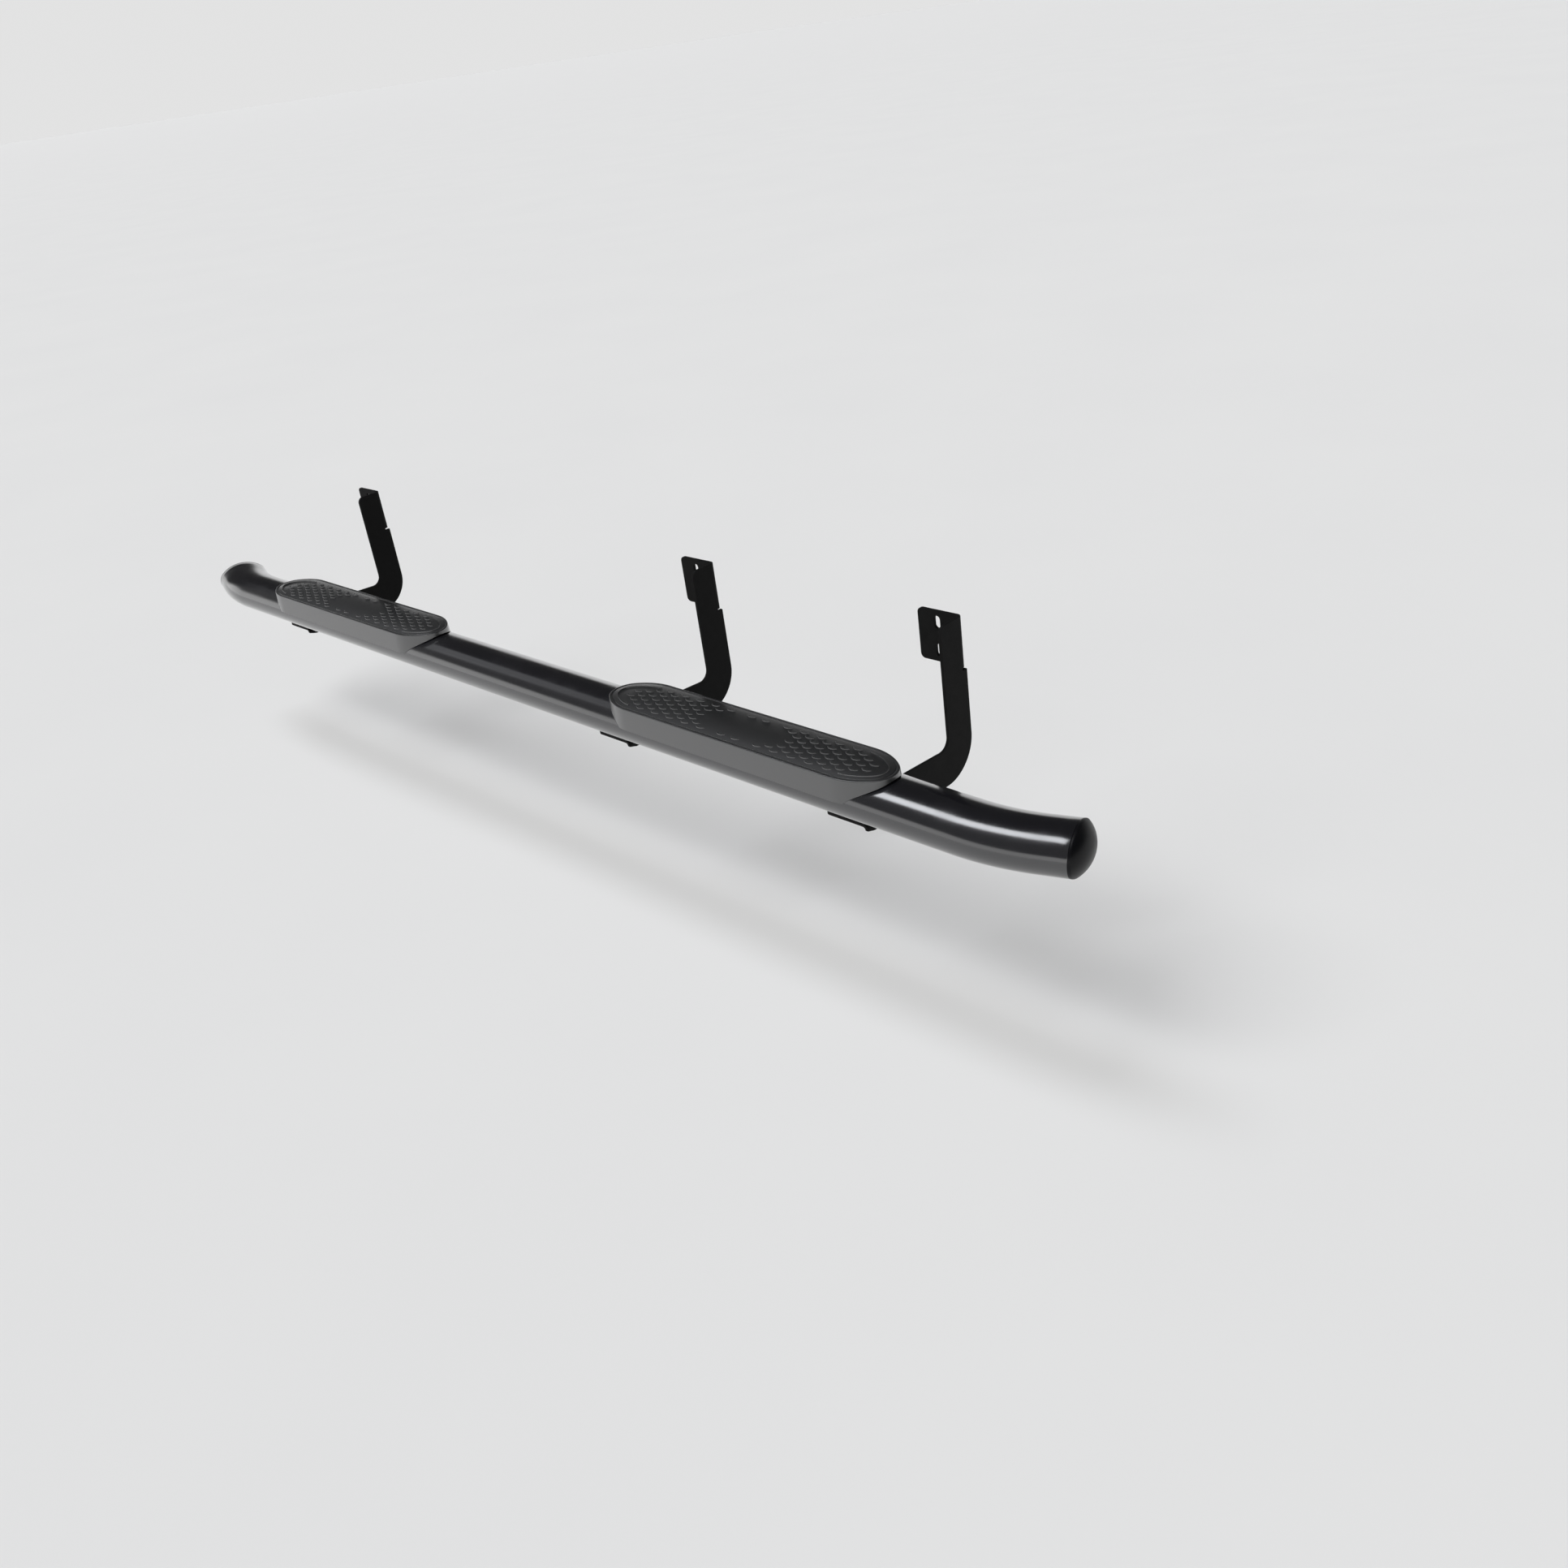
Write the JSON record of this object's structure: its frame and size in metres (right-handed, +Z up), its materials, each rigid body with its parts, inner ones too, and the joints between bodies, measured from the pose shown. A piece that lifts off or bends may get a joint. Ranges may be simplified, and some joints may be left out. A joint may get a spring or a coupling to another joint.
{
  "type": "side step bar",
  "caption": "Oval tube side step with bent ends, domed caps and two raised treads, carried on gooseneck plate brackets that bolt to a vehicle's sill.",
  "frame": {"origin": "centre of the middle bracket's pair of slots, on the face that meets the vehicle", "axes": "+X along the bar towards the vehicle's front, +Y inboard towards the vehicle, +Z up"},
  "size_m": [2.2919, 0.2706, 0.248],
  "materials": {
    "tube_coat": "gloss black powder coat",
    "bracket_coat": "fine textured black powder coat",
    "tread_plastic": "grained charcoal moulding",
    "cap_plastic": "gloss black moulding",
    "clip_plastic": "plain black nylon",
    "plated_steel": "zinc plated",
    "dark_fastener": "black zinc plated"
  },
  "bodies": {
    "root": {"step_tube": "tube_coat", "front_end_cap": "cap_plastic", "rear_end_cap": "cap_plastic", "front_step_pad": "tread_plastic", "rear_step_pad": "tread_plastic", "front_pad_clips": "clip_plastic", "rear_pad_clips": "clip_plastic", "front_bracket": "bracket_coat", "middle_bracket": "bracket_coat", "rear_bracket": "bracket_coat", "front_nut_plate": "plated_steel", "middle_nut_plate": "plated_steel", "rear_nut_plate": "plated_steel", "front_foot_bolts": "dark_fastener", "middle_foot_bolts": "dark_fastener", "rear_foot_bolts": "dark_fastener", "front_flat_washers": "dark_fastener", "middle_flat_washers": "dark_fastener", "rear_flat_washers": "dark_fastener", "front_lock_washers": "dark_fastener", "middle_lock_washers": "dark_fastener", "rear_lock_washers": "dark_fastener"}
  },
  "joints": []
}
